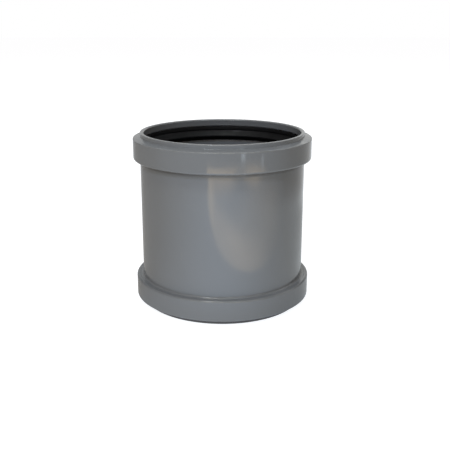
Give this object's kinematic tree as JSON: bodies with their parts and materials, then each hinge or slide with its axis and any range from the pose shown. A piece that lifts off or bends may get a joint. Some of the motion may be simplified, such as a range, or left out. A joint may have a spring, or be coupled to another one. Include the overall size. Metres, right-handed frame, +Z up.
{
  "type": "pipe coupling",
  "caption": "Push fit coupling for soil pipe: a short straight tube whose ends are sockets, each with a rubber ring seal held under a retaining cap.",
  "frame": {"origin": "centre of the lower rim's plane, on the bore's axis", "axes": "+Z up along the bore's axis towards the upper rim; the part is round, so X and Y are free, and -Y faces the picture's camera"},
  "size_m": [0.1272, 0.1272, 0.1233],
  "materials": {
    "body_plastic": "glossy injection-moulded grey plastic",
    "cap_plastic": "glossy injection-moulded grey plastic",
    "seal_rubber": "black moulded rubber with a thin film of grease"
  },
  "bodies": {
    "root": {"coupling_body": "body_plastic", "upper_retaining_cap": "cap_plastic", "lower_retaining_cap": "cap_plastic", "upper_seal": "seal_rubber", "lower_seal": "seal_rubber"}
  },
  "joints": []
}
